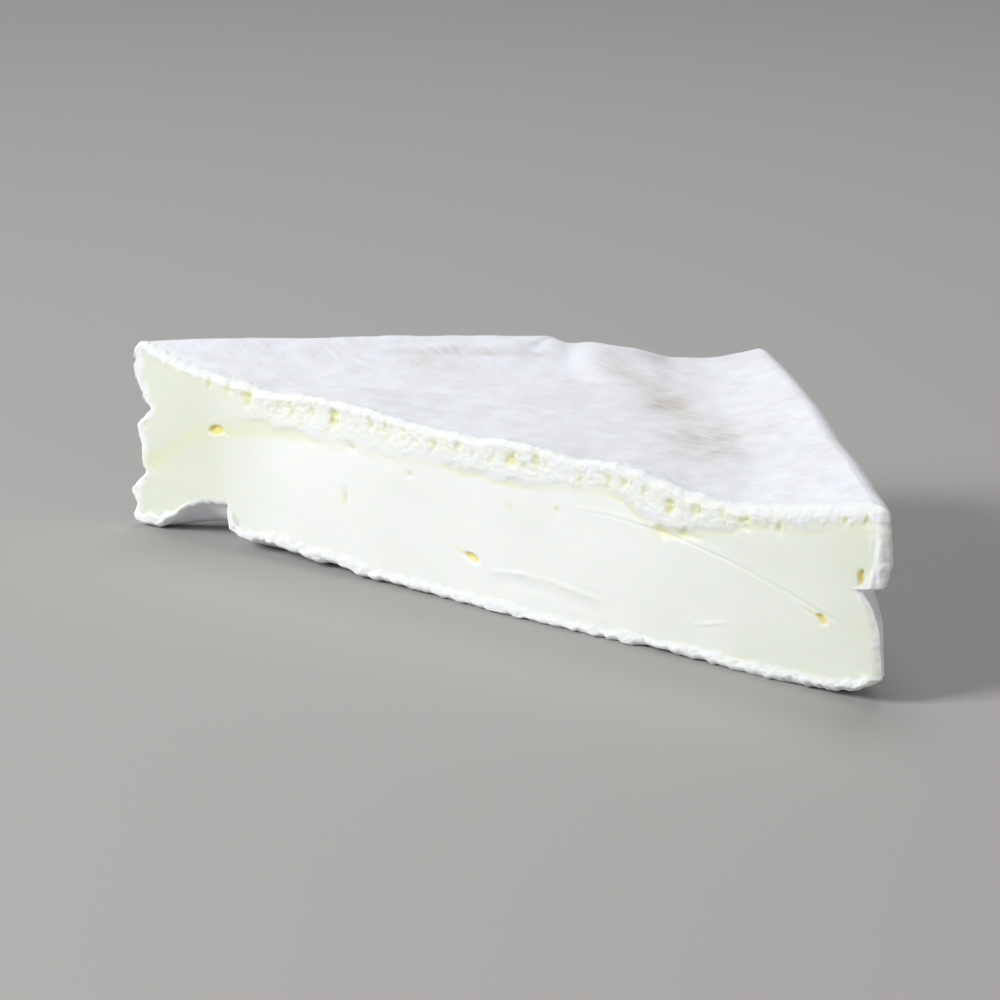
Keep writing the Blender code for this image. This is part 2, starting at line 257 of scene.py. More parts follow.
def end_faces(heights):
    """Triangles that close an outline, joining its cut side to its rind side level by level."""
    around = len(heights)
    low = int(np.argmin(heights))
    high = int(np.argmax(heights))
    front = [(low + step) % around for step in range((high - low) % around + 1)]
    back = [(low - step) % around for step in range((low - high) % around + 1)]
    faces = []
    at_front = at_back = 0
    while at_front < len(front) - 1 or at_back < len(back) - 1:
        front_next = front[min(at_front + 1, len(front) - 1)]
        back_next = back[min(at_back + 1, len(back) - 1)]
        front_is_done = at_front == len(front) - 1
        front_is_lower = heights[front_next] <= heights[back_next]
        if not front_is_done and (front_is_lower or at_back == len(back) - 1):
            triangle = (front[at_front], front_next, back[at_back])
            at_front += 1
        else:
            triangle = (front[at_front], back_next, back[at_back])
            at_back += 1
        if len(set(triangle)) == 3:
            faces.append(triangle)
    return np.array(faces)


def lofted_mesh(name, grid, masks, paste_rows):
    """A closed mesh through outlines that stand side by side, with its masks stored on its points."""
    stations, around = grid.shape[:2]
    points = grid.reshape(-1, 3) - ORIGIN
    station = np.arange(stations - 1)[:, None] * around
    step = np.arange(around)[None]
    here = station + step
    beside = station + (step + 1) % around
    quads = np.stack([here, here + around, beside + around, beside], axis=2).reshape(-1, 4)
    is_paste = np.broadcast_to(step >= around - paste_rows, here.shape).reshape(-1)
    first = end_faces(grid[0, :, 2])
    last = end_faces(grid[-1, :, 2])[:, ::-1] + (stations - 1) * around
    corners = np.concatenate([quads.reshape(-1), first.reshape(-1), last.reshape(-1)])
    sizes = np.concatenate([np.full(len(quads), 4), np.full(len(first) + len(last), 3)])

    mesh = bpy.data.meshes.new(name)
    mesh.vertices.add(len(points))
    mesh.vertices.foreach_set("co", points.astype(np.float32).reshape(-1))
    mesh.loops.add(len(corners))
    mesh.loops.foreach_set("vertex_index", corners.astype(np.int32))
    mesh.polygons.add(len(sizes))
    mesh.polygons.foreach_set("loop_start", (np.cumsum(sizes) - sizes).astype(np.int32))
    slots = np.concatenate([is_paste, np.zeros(len(first) + len(last))])
    mesh.polygons.foreach_set("material_index", slots.astype(np.int32))
    mesh.update(calc_edges=True)
    mesh.validate()
    for mask, values in masks.items():
        stored = mesh.attributes.new(mask, "FLOAT", "POINT")
        stored.data.foreach_set("value", np.clip(values, 0, 1).astype(np.float32).reshape(-1))
    mesh.shade_smooth()
    return mesh


# Rounding of the cut's edges: tighter where the piece is thin, wider on its calmer right part
LIP_ROUND = 1.1 * MM
LIP_ROUND_AT_ENDS = 0.25
LIP_GAIN_ON_RIGHT = 0.4
THIN_PART = 9.0 * MM
CALM_START = 40.0 * MM
CALM_RISE = 15.0 * MM
LEFT_CORNER_ROUND = 2.0 * MM

# Ribs and tufts that the mat left on the mould, and the loose crumbs on the lip along the cut
WRINKLE_HEIGHT = 0.28 * MM
RIB_LENGTH = 11.0 * MM
RIB_WIDTH = 2.6 * MM
FINE_RIB_LENGTH = 6.0 * MM
FINE_RIB_WIDTH = 1.6 * MM
RIB_BEND = 1.6 * MM
RIB_BEND_LENGTH = 14.0 * MM
PATCH = 13.0 * MM
FLUFF = 3.4 * MM
SMOOTH_RIM = 5.0 * MM
FINE_GRAIN = 0.8 * MM
LIP_WAVE = 3.1 * MM
FINE_LIP_WAVE = 1.3 * MM
LIP_REACH = 3.0 * MM
LIP_HEIGHT = 0.27 * MM
GRAIN_REACH = 3.5 * MM
GRAIN = 1.6 * MM
GRAIN_HEIGHT = 0.35 * MM
RIB_BEND_SEED, RIB_SEED, FINE_RIB_SEED, GRAIN_SEED = 42, 43, 44, 45
PATCH_SEED, FLUFF_SEED, FINE_GRAIN_SEED, LIP_SEED, FINE_LIP_SEED = 50, 57, 58, 77, 78

# The strip of thicker rind along the left side
FLAP_WIDTH = 5.4 * MM
FLAP_HEIGHT = 0.6 * MM
FLAP_START = -66.0 * MM
FLAP_RISE = 22.0 * MM
FLAP_END = MOUND_START + 0.5 * MM
FLAP_TAPER = 7.0 * MM
FLAP_WANDER = 0.5 * MM
FLAP_WANDER_LENGTH = 5.0 * MM
FLAP_EDGE = 1.2 * MM
FLAP_SEED = 41


def flap(x, f):
    """1 on the strip of thicker rind along the left side, which ends short of the corner."""
    from_left = (HALF_CUT + x - f) / np.sqrt(2)
    along_left = (x + f - HALF_CUT) / 2
    width = FLAP_WIDTH * ease((FLAP_END - along_left) / FLAP_TAPER)
    width = width + FLAP_WANDER * lumps(along_left / FLAP_WANDER_LENGTH, 0 * x, FLAP_SEED)
    strong = ease((along_left - FLAP_START) / FLAP_RISE)
    return ease((width - from_left) / FLAP_EDGE) * strong


def lip_round(x):
    """Rounding of the cut's edges, tighter where the piece is thin."""
    wide = LIP_ROUND_AT_ENDS + (1 - LIP_ROUND_AT_ENDS) * ease(plan(x)[0] / THIN_PART)
    return LIP_ROUND * wide * (1 + LIP_GAIN_ON_RIGHT * ease((x - CALM_START) / CALM_RISE))


def rind_top(x, f):
    """The top with its strip, its mat wrinkles and the crumbs along the cut."""
    along = (x + f) / np.sqrt(2)
    across = (f - x) / np.sqrt(2)
    bend = RIB_BEND * lumps(along / RIB_BEND_LENGTH, across / RIB_BEND_LENGTH, RIB_BEND_SEED)
    fine_ribs = lumps(along / FINE_RIB_LENGTH, (across + bend) / FINE_RIB_WIDTH, FINE_RIB_SEED)
    ribs = lumps(along / RIB_LENGTH, (across + bend) / RIB_WIDTH, RIB_SEED) + 0.7 * fine_ribs
    patches = 0.5 + 0.5 * lumps(x / PATCH, f / PATCH, PATCH_SEED)
    fluff = lumps(x / FLUFF, f / FLUFF, FLUFF_SEED)
    fine_grain = lumps(x / FINE_GRAIN, f / FINE_GRAIN, FINE_GRAIN_SEED)
    grain = beads(x / GRAIN, f / GRAIN, GRAIN_SEED) + 0.6 * fine_grain - 0.5
    grain = grain * (1 - ease(f / GRAIN_REACH)) * (1 - 0.55 * ease((x - CALM_START) / CALM_RISE))
    inside = 0.3 + 0.7 * ease(from_side(x, f) / SMOOTH_RIM)
    relief = WRINKLE_HEIGHT * (ribs * (0.35 + 0.8 * patches) + 0.5 * fluff)
    fine_lip = lumps(x / FINE_LIP_WAVE, f / FINE_LIP_WAVE, FINE_LIP_SEED)
    lip = lumps(x / LIP_WAVE, 0 * x, LIP_SEED) + 0.8 * fine_lip
    lip = LIP_HEIGHT * lip * (1 - ease(f / LIP_REACH)) * ease(plan(x)[0] / THIN_PART)
    height = top_height(x, f) + FLAP_HEIGHT * flap(x, f) - turned(f, lip_round(x))
    height = height - turned(x + HALF_CUT, LEFT_CORNER_ROUND)
    return height + relief * inside + GRAIN_HEIGHT * grain + lip


# Inner edge (x, z) of the white rind on the cut, above and below, and how wide it is at the ends
TOP_RIND_EDGE = MM * np.array([
    (-95, 37.6), (-88, 36.5), (-84.7, 35.8), (-79.6, 35.4), (-72.7, 34.0), (-65.7, 33.5), (-59.7, 32.4),
    (-53.5, 33.1), (-46.7, 33.4), (-40, 33.9), (-32, 33.4), (-22.8, 33.0), (-15, 32.9), (-4.7, 32.7),
    (2.9, 33.0), (10.5, 33.6), (18, 33.1), (27.9, 33.1), (37.7, 33.1), (47.4, 32.1), (52, 31.6),
    (61.7, 31.2), (73.4, 31.5), (82.5, 33.6), (89.2, 35.0), (95, 35.2),
])
LOW_RIND_EDGE = MM * np.array([
    (-95, 2.7), (-87, 3.1), (-83, 5.0), (-79, 7.3), (-74.8, 8.7), (-69, 8.7), (-66.4, 7.1), (-65, 4.8),
    (-60.5, 4.1), (-56.7, 5.2), (-51.3, 4.6), (-45.8, 3.7), (-35, 3.9), (-29.7, 2.2), (-19, 2.4),
    (-3.5, 2.3), (4.2, 2.6), (7.3, 1.9), (18, 1.7), (32, 1.9), (39, 2.2), (63, 2.4), (82, 2.7),
    (87.8, 3.5), (93, 5.6),
])
RIND_SOFTEN = 0.6 * MM
TOP_RIND_FADE = 1.9 * MM
LOW_RIND_FADE = 1.1 * MM
END_RIND_FADE = 2.5 * MM
LEFT_RIND = 3.3 * MM
RIGHT_RIND = 4.0 * MM
RIGHT_RIND_BELOW_NOTCH = 2.0 * MM
NOTCH_HEIGHT = 21.8 * MM
LEFT_SPIKES = -91.9 * MM
SPIKES_FADE = 1.6 * MM
RAGGED, RAGGED_HEIGHT, RAGGED_SEED = 1.5 * MM, 0.5 * MM, 60

# The crumbly band under the top rind: its lower edge (x, z), its step and its yellow valley, whose
# yellow is partly painted shade under the step
BAND_EDGE = MM * np.array([
    (-95, 13), (-88, 16), (-77, 23.4), (-62, 27), (-43, 27.3), (-22, 27.6), (-13, 28.4), (3, 27.4),
    (16, 27.8), (28, 29.9), (34, 29), (42, 24.4), (53, 26.4), (64, 29.6), (95, 34),
])
BAND_SOFTEN = 1.0 * MM
BAND_STEP = 0.2 * MM
BAND_SLOPE = 1.5 * MM
BAND_COLOR_SLOPE = 2.4 * MM
BAND_LEFT = -74.0 * MM
BAND_RIGHT = 84.0 * MM
BAND_FADE = 16.0 * MM
EDGE_WAVE, EDGE_WAVE_WIDTH, EDGE_WAVE_RISE, EDGE_WAVE_SEED = 0.8 * MM, 3.7 * MM, 2.5 * MM, 61
EDGE_NICK, EDGE_NICK_WIDTH, EDGE_NICK_RISE, EDGE_NICK_SEED = 0.5 * MM, 1.4 * MM, 1.2 * MM, 74
LEDGE, LEDGE_SEED = 8.0 * MM, 73
QUIET_START = -8.0 * MM
QUIET_FADE = 35.0 * MM
LEFT_VALLEY_START = -44.0 * MM
LEFT_VALLEY_FADE = 22.0 * MM
VALLEY_DROP = 0.6 * MM
VALLEY_DEPTH = 0.12 * MM

# Crumbs of the band and of the rind's cut edge, and the larger ones that hang under the low rind
CRUMB_SIZE, CRUMB_SEED = 2.3 * MM, 62
SMALL_CRUMB, SMALL_CRUMB_SEED = 1.1 * MM, 63
CRUMB_WAVE, CRUMB_WAVE_SEED = 3.0 * MM, 64
ROUGH, ROUGH_SEED = 0.6 * MM, 69
CRUMB_HEIGHT = 0.4 * MM
BOTTOM_BEAD = 2.7 * MM
BOTTOM_BEAD_HEIGHT = 1.7 * MM
FACE_BEAD_HEIGHT = 1.05 * MM
FACE_BEAD_SEED = 51
LOW_PIT_WIDTH, LOW_PIT_RISE, LOW_PIT_SEED = 2.6 * MM, 1.6 * MM, 68
LOW_PIT_DEPTH = 0.3 * MM
LOW_PIT_REACH = 1.3 * MM

# Pits (x, z, half width, half height) in a row under the top rind, and the pleats between them
PITS = MM * np.array([
    (-74.1, 34.0, 0.7, 1.1), (-68.5, 33.2, 0.9, 0.9), (-63.7, 33.0, 1.3, 1.3), (-54.8, 31.9, 0.6, 1.1),
    (-51.8, 32.3, 0.8, 1.4), (-46.2, 32.4, 0.6, 1.1), (-40.3, 32.6, 1.1, 1.7), (-30.7, 32.5, 0.7, 1.2),
    (-26.8, 32.8, 0.6, 1.2), (-21.5, 32.6, 0.7, 1.2), (-13.7, 31.8, 0.9, 1.0), (-7.3, 32.3, 0.8, 0.9),
    (0.9, 31.2, 0.8, 0.9), (6.0, 32.2, 1.3, 1.2), (9.0, 31.6, 0.7, 0.9), (12.2, 32.4, 0.8, 1.1),
    (23.1, 30.4, 0.8, 1.2), (30.1, 32.0, 0.9, 1.0), (34.0, 32.6, 0.7, 0.9), (39.4, 31.4, 0.9, 0.9),
    (45.6, 29.8, 1.2, 1.0), (52.0, 30.6, 0.9, 1.2), (58.4, 30.6, 0.6, 1.1), (63.2, 30.1, 1.4, 0.9),
    (71.1, 30.7, 0.7, 0.9), (85.9, 34.2, 1.0, 0.8), (90.9, 34.9, 1.0, 1.0),
])
PIT_DEPTH = 0.55 * MM
LARGE_PIT = 1.05 * MM
TORN_WIDTH, TORN_RISE, TORN_SEED = 0.45 * MM, 0.6 * MM, 84
PIT_ROW_DROP = 0.9 * MM
PIT_ROW_REACH = 1.5 * MM
PLEAT_DEPTH = 0.25 * MM
PLEAT, PLEAT_LENGTH, PLEAT_SEED = 0.9 * MM, 5.0 * MM, 70
SPECK, SPECK_RISE, SPECK_SEED = 0.8 * MM, 0.9 * MM, 85

# How far the outlines of the pits and eyes wander
WARP_X, WARP_X_WIDTH, WARP_X_RISE, WARP_X_SEED = 0.6 * MM, 0.9 * MM, 1.3 * MM, 65
WARP_Z, WARP_Z_SIZE, WARP_Z_SEED = 0.9 * MM, 1.3 * MM, 66

# Eyes in the paste: x, z, half width, half height, depth. The first few have a golden skin
EYES = MM * np.array([
    (-71.9, 24.3, 2.3, 1.0, 0.9), (-3.3, 10.2, 2.0, 0.8, 0.8), (81.8, 14.5, 1.6, 0.8, 0.8),
    (90.2, 24.4, 0.8, 1.7, 0.9), (-35.5, 27.1, 1.3, 0.8, 0.6), (-36.5, 16.5, 0.6, 1.6, 0.35),
    (-19.9, 24.4, 1.0, 0.6, 0.35), (43.8, 24.5, 2.6, 1.1, 0.6), (48.6, 25.0, 2.2, 0.9, 0.5),
    (5.9, 22.3, 0.5, 1.0, 0.25), (17.6, 23.9, 0.7, 0.6, 0.25), (-69.3, 24.0, 1.5, 0.5, 0.15),
    (-6.2, 11.0, 1.6, 0.35, 0.15), (79.0, 15.6, 1.4, 0.4, 0.15),
])
EYE_SLOPES = (0.1, -0.25, -0.4, 0, -0.2, 0, -0.2, -0.1, -0.1, 0, 0, -0.15, -0.3, -0.4)
GOLDEN_EYES = 4
LARGE_EYE = 2.1 * MM

# Lines that the knife drew, strokes of its blade, a glossy ridge and a short dash
DRAG_LINE = MM * np.array([
    (12, 24.4), (30, 25.6), (44, 24.8), (50, 23.9), (62, 21.9), (75, 18.6), (88, 14.8), (95, 12.4),
])
DRAG_LINES = ((0.0, 0.14), (0.7, -0.1), (1.3, 0.1), (2.3, 0.07), (-0.8, 0.07), (3.4, 0.05))
DRAG_START, DRAG_RISE = 14.0 * MM, 20.0 * MM
DRAG_END, DRAG_FALL = 94.0 * MM, 12.0 * MM
DRAG_SPREAD_START, DRAG_SPREAD_LENGTH = 44.0 * MM, 30.0 * MM
DRAG_WIDTH = 0.3 * MM
GLOSS_RIDGE = MM * np.array([(0, 8.2), (4, 8.7), (9, 9.3), (16, 9.2), (27, 8.0), (34, 7.4)])
RIDGE_START, RIDGE_RISE = 1.0 * MM, 5.0 * MM
RIDGE_END, RIDGE_FALL = 33.0 * MM, 8.0 * MM
RIDGE_HEIGHT = 0.42 * MM
RIDGE_WIDTH = 0.42 * MM
RIDGE_BREAK, RIDGE_BREAK_SEED = 3.0 * MM, 75
DIP_DEPTH = 0.2 * MM
DIP_DROP = 2.2 * MM
DIP_WIDTH = 1.3 * MM
DASH_X, DASH_Z, DASH_SLOPE = 56.3 * MM, 8.5 * MM, 0.24
DASH_LENGTH, DASH_WIDTH, DASH_HEIGHT = 3.2 * MM, 0.35 * MM, 0.3 * MM
STROKE_LENGTH, STROKE_WIDTH, STROKE_SLOPE, STROKE_SEED = 30.0 * MM, 1.7 * MM, 0.06, 67
STROKE_HEIGHT = 0.03 * MM
FACE_WAVE = 0.3 * MM
FACE_WAVE_LENGTH = 16.0 * MM
FACE_SEED = 5

# Where the paste pales to its middle: from its riper left end, and from a painted shade that deepens
# towards the right end
LEFT_RIPE_START, LEFT_RIPE_LENGTH = -46.0 * MM, 40.0 * MM
RIGHT_SHADE_START, RIGHT_SHADE_LENGTH = 6.0 * MM, 88.0 * MM
PALE_CLOUD_WIDTH, PALE_CLOUD_RISE, PALE_CLOUD_SEED = 11.0 * MM, 7.0 * MM, 76

# The rind that hangs in ribs over the notch at the right end
HANGING_WIDTH, HANGING_FADE = 4.4 * MM, 2.2 * MM
HANGING_START, HANGING_RISE = 21.9 * MM, 1.2 * MM
HANGING_TOP, HANGING_FALL = 36.0 * MM, 5.0 * MM
HANGING_RIB, HANGING_RIB_LENGTH, HANGING_SLOPE, HANGING_SEED = 0.75 * MM, 6.0 * MM, 0.12, 71


def face_relief(x, z, from_end):
    """How far the cut face stands out, and where it is white crumb, yellow, golden and pale. Part of
    the yellow is painted shade, and painted shade makes the paste less pale towards the right end.
    """
    warp_x = x + WARP_X * lumps(x / WARP_X_WIDTH, z / WARP_X_RISE, WARP_X_SEED)
    warp_z = z + WARP_Z * lumps(x / WARP_Z_SIZE, z / WARP_Z_SIZE, WARP_Z_SEED)
    ragged = RAGGED_HEIGHT * lumps(x / RAGGED, z / RAGGED, RAGGED_SEED)
    edge = curve(x, BAND_EDGE, BAND_SOFTEN)
    edge = edge + EDGE_WAVE * lumps(x / EDGE_WAVE_WIDTH, z / EDGE_WAVE_RISE, EDGE_WAVE_SEED)
    edge = edge + EDGE_NICK * lumps(x / EDGE_NICK_WIDTH, z / EDGE_NICK_RISE, EDGE_NICK_SEED)
    middle = ease((x - BAND_LEFT) / BAND_FADE) * ease((BAND_RIGHT - x) / BAND_FADE)
    ledge = 0.25 + 0.75 * ease(0.5 + 1.4 * lumps(x / LEDGE, 0 * x, LEDGE_SEED))
    band = ease((z - edge) / BAND_SLOPE) * middle
    deep_band = ease((z - edge) / BAND_COLOR_SLOPE) * middle
    relief = FACE_WAVE * lumps(x / FACE_WAVE_LENGTH, z / FACE_WAVE_LENGTH, FACE_SEED)

    over_edge = z - curve(x, TOP_RIND_EDGE, RIND_SOFTEN) + 1.6 * ragged
    in_top_rind = ease(over_edge / TOP_RIND_FADE + 0.5)
    under_edge = curve(x, LOW_RIND_EDGE, RIND_SOFTEN) - z + ragged
    in_low_rind = ease(under_edge / LOW_RIND_FADE + 0.5)
    right_width = np.where(z > NOTCH_HEIGHT, RIGHT_RIND, RIGHT_RIND_BELOW_NOTCH)
    end_width = np.where(x < 0, LEFT_RIND, right_width)
    in_end_rind = ease((end_width - from_end + 1.8 * ragged) / END_RIND_FADE)
    in_spikes = ease((LEFT_SPIKES - x + ragged) / SPIKES_FADE)
    in_end_rind = np.maximum(in_end_rind, in_spikes)
    in_rind = np.maximum(np.maximum(in_top_rind, in_low_rind), in_end_rind)

    round_crumbs = beads(x / CRUMB_SIZE, z / CRUMB_SIZE, CRUMB_SEED)
    small_crumbs = beads(x / SMALL_CRUMB, z / SMALL_CRUMB, SMALL_CRUMB_SEED)
    rough = lumps(x / ROUGH, z / ROUGH, ROUGH_SEED)
    crumbs = 0.4 * round_crumbs + 0.6 * small_crumbs + 0.35 * rough - 0.5
    crumbs = crumbs + 0.35 * lumps(x / CRUMB_WAVE, z / CRUMB_WAVE, CRUMB_WAVE_SEED)
    big_beads = beads(x / BOTTOM_BEAD, z / (0.8 * BOTTOM_BEAD), FACE_BEAD_SEED) - 0.4
    relief = relief + BAND_STEP * band * ledge
    quiet = ease((QUIET_START - x) / QUIET_FADE)
    in_band = (0.25 * band + 0.5 * deep_band) * (1 - 0.3 * quiet)
    crumbly = np.maximum(in_band, np.maximum(in_low_rind, 0.75 * in_rind))
    relief = relief + CRUMB_HEIGHT * crumbs * crumbly
    relief = relief + FACE_BEAD_HEIGHT * big_beads * in_low_rind

    on_left = ease((LEFT_VALLEY_START - x) / LEFT_VALLEY_FADE)
    valley_width = (0.7 + 1.3 * on_left) * MM
    valley = np.exp(-(((z - edge + VALLEY_DROP) / valley_width) ** 2))
    relief = relief - VALLEY_DEPTH * valley * ledge
    # Yellow in the valley under the step: partly the paste's tint, partly painted shade, strongest
    # where the step stands out
    yellow_and_shade = (0.12 + 0.3 * ledge * (1 - on_left) + 0.26 * on_left) * valley
    yellow_and_shade = yellow_and_shade + deep_band * np.clip(0.14 + 0.12 * quiet - 0.8 * crumbs, 0, 0.4)
    # Painted shade: yellow-beige in the grooves between the lumps of the low rind
    yellow_and_shade = yellow_and_shade + 0.5 * in_low_rind * np.clip(0.1 - big_beads, 0, 0.5)
    white = np.maximum(in_rind, band * np.clip(0.15 + 0.8 * crumbs, 0, 0.75) * (1 - 0.45 * quiet))

    under_rind = curve(x, TOP_RIND_EDGE) - PIT_ROW_DROP - z
    pit_row = np.exp(-((under_rind / PIT_ROW_REACH) ** 2)) * middle
    pleats = np.clip(lumps(x / PLEAT, z / PLEAT_LENGTH, PLEAT_SEED) - 0.1, 0, 1)
    specks = np.clip(1.6 * lumps(x / SPECK, z / SPECK_RISE, SPECK_SEED) - 0.5, 0, 1)
    relief = relief - PLEAT_DEPTH * pit_row * np.maximum(pleats, specks)
    yellow_and_shade = np.maximum(yellow_and_shade, 0.45 * pit_row * np.maximum(pleats, specks))
    torn_edge = 1 + 0.55 * lumps(x / TORN_WIDTH, z / TORN_RISE, TORN_SEED)
    for pit_x, pit_z, half_width, half_height in PITS:
        pit = hollow(warp_x, warp_z, pit_x, pit_z, 0.8 * half_width, 1.1 * half_height)
        pit = np.clip(pit * torn_edge, 0, 1)
        halo = hollow(warp_x, warp_z, pit_x, pit_z, 1.9 * half_width, 1.7 * half_height)
        large = half_width > LARGE_PIT
        relief = relief - (1.2 if large else 0.75) * PIT_DEPTH * pit
        yellow_and_shade = np.maximum(yellow_and_shade, (0.9 if large else 0.6) * ease(pit * 1.3))
        yellow_and_shade = np.maximum(yellow_and_shade, 0.3 * halo)
        white = white * (1 - 0.95 * pit)

    golden = 0 * x
    for number, (eye_x, eye_z, half_width, half_height, depth) in enumerate(EYES):
        middle_z = eye_z + EYE_SLOPES[number] * (x - eye_x)
        near_x = x + 0.4 * (warp_x - x)
        near_z = z + 0.3 * (warp_z - z)
        eye = hollow(near_x, near_z, eye_x, middle_z, half_width, half_height)
        if number < GOLDEN_EYES:
            inside = ease((eye - 0.25) / 0.45)
            golden = np.maximum(golden, inside)
            white = white * (1 - inside)
        else:
            inside = eye
            yellow_and_shade = np.maximum(yellow_and_shade, (0.85 if half_width > LARGE_EYE else 0.5) * inside)
        relief = relief - depth * inside

    drag = curve(x, DRAG_LINE)
    after = ease((x - DRAG_START) / DRAG_RISE) * ease((DRAG_END - x) / DRAG_FALL)
    for offset, height in DRAG_LINES:
        spread = offset * (0.6 + 0.6 * ease((x - DRAG_SPREAD_START) / DRAG_SPREAD_LENGTH))
        line = np.exp(-(((z - drag + spread * MM) / DRAG_WIDTH) ** 2))
        relief = relief + height * MM * line * after * (1 - band)
    ridge = curve(x, GLOSS_RIDGE)
    along = ease((x - RIDGE_START) / RIDGE_RISE) * ease((RIDGE_END - x) / RIDGE_FALL)
    broken = 0.6 + 0.4 * lumps(x / RIDGE_BREAK, 0 * x, RIDGE_BREAK_SEED)
    relief = relief + RIDGE_HEIGHT * along * broken * np.exp(-(((z - ridge) / RIDGE_WIDTH) ** 2))
    relief = relief - DIP_DEPTH * along * np.exp(-(((z - ridge + DIP_DROP) / DIP_WIDTH) ** 2))
    dash_z = DASH_Z + DASH_SLOPE * (x - DASH_X)
    relief = relief + DASH_HEIGHT * hollow(x, z, DASH_X, dash_z, DASH_LENGTH, DASH_WIDTH)
    strokes = lumps(x / STROKE_LENGTH, (z + STROKE_SLOPE * x) / STROKE_WIDTH, STROKE_SEED)
    relief = relief + STROKE_HEIGHT * strokes * (1 - band) * (1 - in_rind)

    over_low = np.clip(z - curve(x, LOW_RIND_EDGE), 0, None)
    near_low = np.exp(-over_low / LOW_PIT_REACH) * (1 - in_low_rind)
    low_pits = 1 - beads(x / LOW_PIT_WIDTH, z / LOW_PIT_RISE, LOW_PIT_SEED)
    relief = relief - LOW_PIT_DEPTH * near_low * low_pits
    yellow_and_shade = np.maximum(yellow_and_shade, 0.4 * near_low * low_pits)

    to_left = 1.1 * ease((LEFT_RIPE_START - x) / LEFT_RIPE_LENGTH)
    # Painted shade: the paste darkens towards the right end
    shade_to_right = 0.85 * np.clip((x - RIGHT_SHADE_START) / RIGHT_SHADE_LENGTH, 0, 1) ** 1.6
    clouds = lumps(x / PALE_CLOUD_WIDTH, z / PALE_CLOUD_RISE, PALE_CLOUD_SEED)
    pale = 1 - np.maximum(to_left, shade_to_right) + 0.15 * clouds

    hanging = ease((HANGING_WIDTH - from_end) / HANGING_FADE)
    hanging = hanging * ease((z - HANGING_START) / HANGING_RISE)
    hanging = hanging * ease((HANGING_TOP - z) / HANGING_FALL) * (x > 0)
    ribs = lumps((x - HANGING_SLOPE * z) / HANGING_RIB, z / HANGING_RIB_LENGTH, HANGING_SEED)
    relief = relief + hanging * (0.25 + 0.35 * ribs) * MM
    return relief, white, yellow_and_shade, golden, pale


def rows_across(depth, slope, radius, front, flat_rows, round_rows):
    """Distances behind the cut: close at the cut, even, then close where the rind rounds over."""
    rounded = np.minimum(radius * np.sqrt(1 + slope**2), depth / 2)
    even = np.linspace(0, 1, flat_rows, endpoint=False)
    start = np.minimum(front[-1], 0.3 * (depth - rounded))[:, None]
    near = start * (front / front[-1])
    flat = start + ((depth - rounded)[:, None] - start) * even
    angles = np.linspace(0, np.pi / 2, round_rows + 1)
    turn = depth[:, None] - rounded[:, None] * (1 - np.sin(angles))
    return np.concatenate([near[:, :-1], flat, turn], axis=1)


# Places (x, f, half width across and along) where the top turns beige: thin mould, and painted shade in
# the first four, which lie in the hollows of the top
THIN_AND_SHADED_PLACES = MM * np.array([
    (-14.8, 61.7, 4.5, 8.0), (8.8, 48.6, 4.5, 10.0), (-12.1, 76.7, 4.0, 7.0), (29.2, 32.8, 9.0, 13.0),
    (-2.0, 60.0, 8.0, 9.0), (-60.0, 24.0, 6.0, 6.0), (-45.0, 36.0, 6.0, 7.0), (40.0, 22.0, 6.0, 6.0),
])
THIN_AND_SHADED_STRENGTHS = (0.55, 1.3, 0.5, 0.8, 0.4, 0.25, 0.35, 0.5)
THIN_AND_SHADED_SPOT, THIN_AND_SHADED_SEED = 3.0 * MM, 83


def thin_rind_and_shade(x, f):
    """Where the top looks beige: thin mould, and painted shade in its hollows."""
    thin_and_shade = 0 * x
    for (middle_x, middle_f, half_across, half_along), strength in zip(THIN_AND_SHADED_PLACES, THIN_AND_SHADED_STRENGTHS):
        across = (x + f - middle_x - middle_f) / np.sqrt(2)
        along = (f - x - middle_f + middle_x) / np.sqrt(2)
        thin_and_shade = thin_and_shade + strength * hollow(across, along, 0, 0, half_across, half_along)
    return thin_and_shade * (0.75 + 0.35 * lumps(x / THIN_AND_SHADED_SPOT, f / THIN_AND_SHADED_SPOT, THIN_AND_SHADED_SEED))


# Fineness of the mesh: how many outlines, and the rows on the top, underside, sides and cut.
# The first rows behind the cut, above and below, follow its rounded lip
STATIONS = 431
END_CROWDING = 0.25
FACE_ROWS = 112
SIDE_ROWS = 30
TOP_ROWS, TOP_ROUND_ROWS = 54, 6
BOTTOM_ROWS, BOTTOM_ROUND_ROWS = 9, 4
TOP_LIP_ROWS = np.linspace(0, 4.0, 11) * MM
BOTTOM_LIP_ROWS = np.array([0, 0.4, 0.9, 1.5, 2.4, 3.6]) * MM
FACE_ROW_PLACES = (0, 0.18, 0.60, 1)
FACE_ROW_HEIGHTS = (0, 0.14, 0.62, 1)

# Gaps between the crumbs under the low rind, wrinkles of the sides, and the rounded right end
GAP_SEED = 46
GAP_NOISE, GAP_NOISE_SEED = 1.2 * MM, 86
SIDE_WRINKLE = 0.36 * MM
FOLD, FOLD_HEIGHT, FOLD_SEED = 2.6 * MM, 11.0 * MM, 47
WIDE_FOLD, WIDE_FOLD_SEED = 7.0 * MM, 48
FINE_FOLD, FINE_FOLD_HEIGHT, FINE_FOLD_SEED = 1.1 * MM, 6.0 * MM, 56
FULL_RELIEF = 4.0 * MM
END_LIP = 2.0 * MM

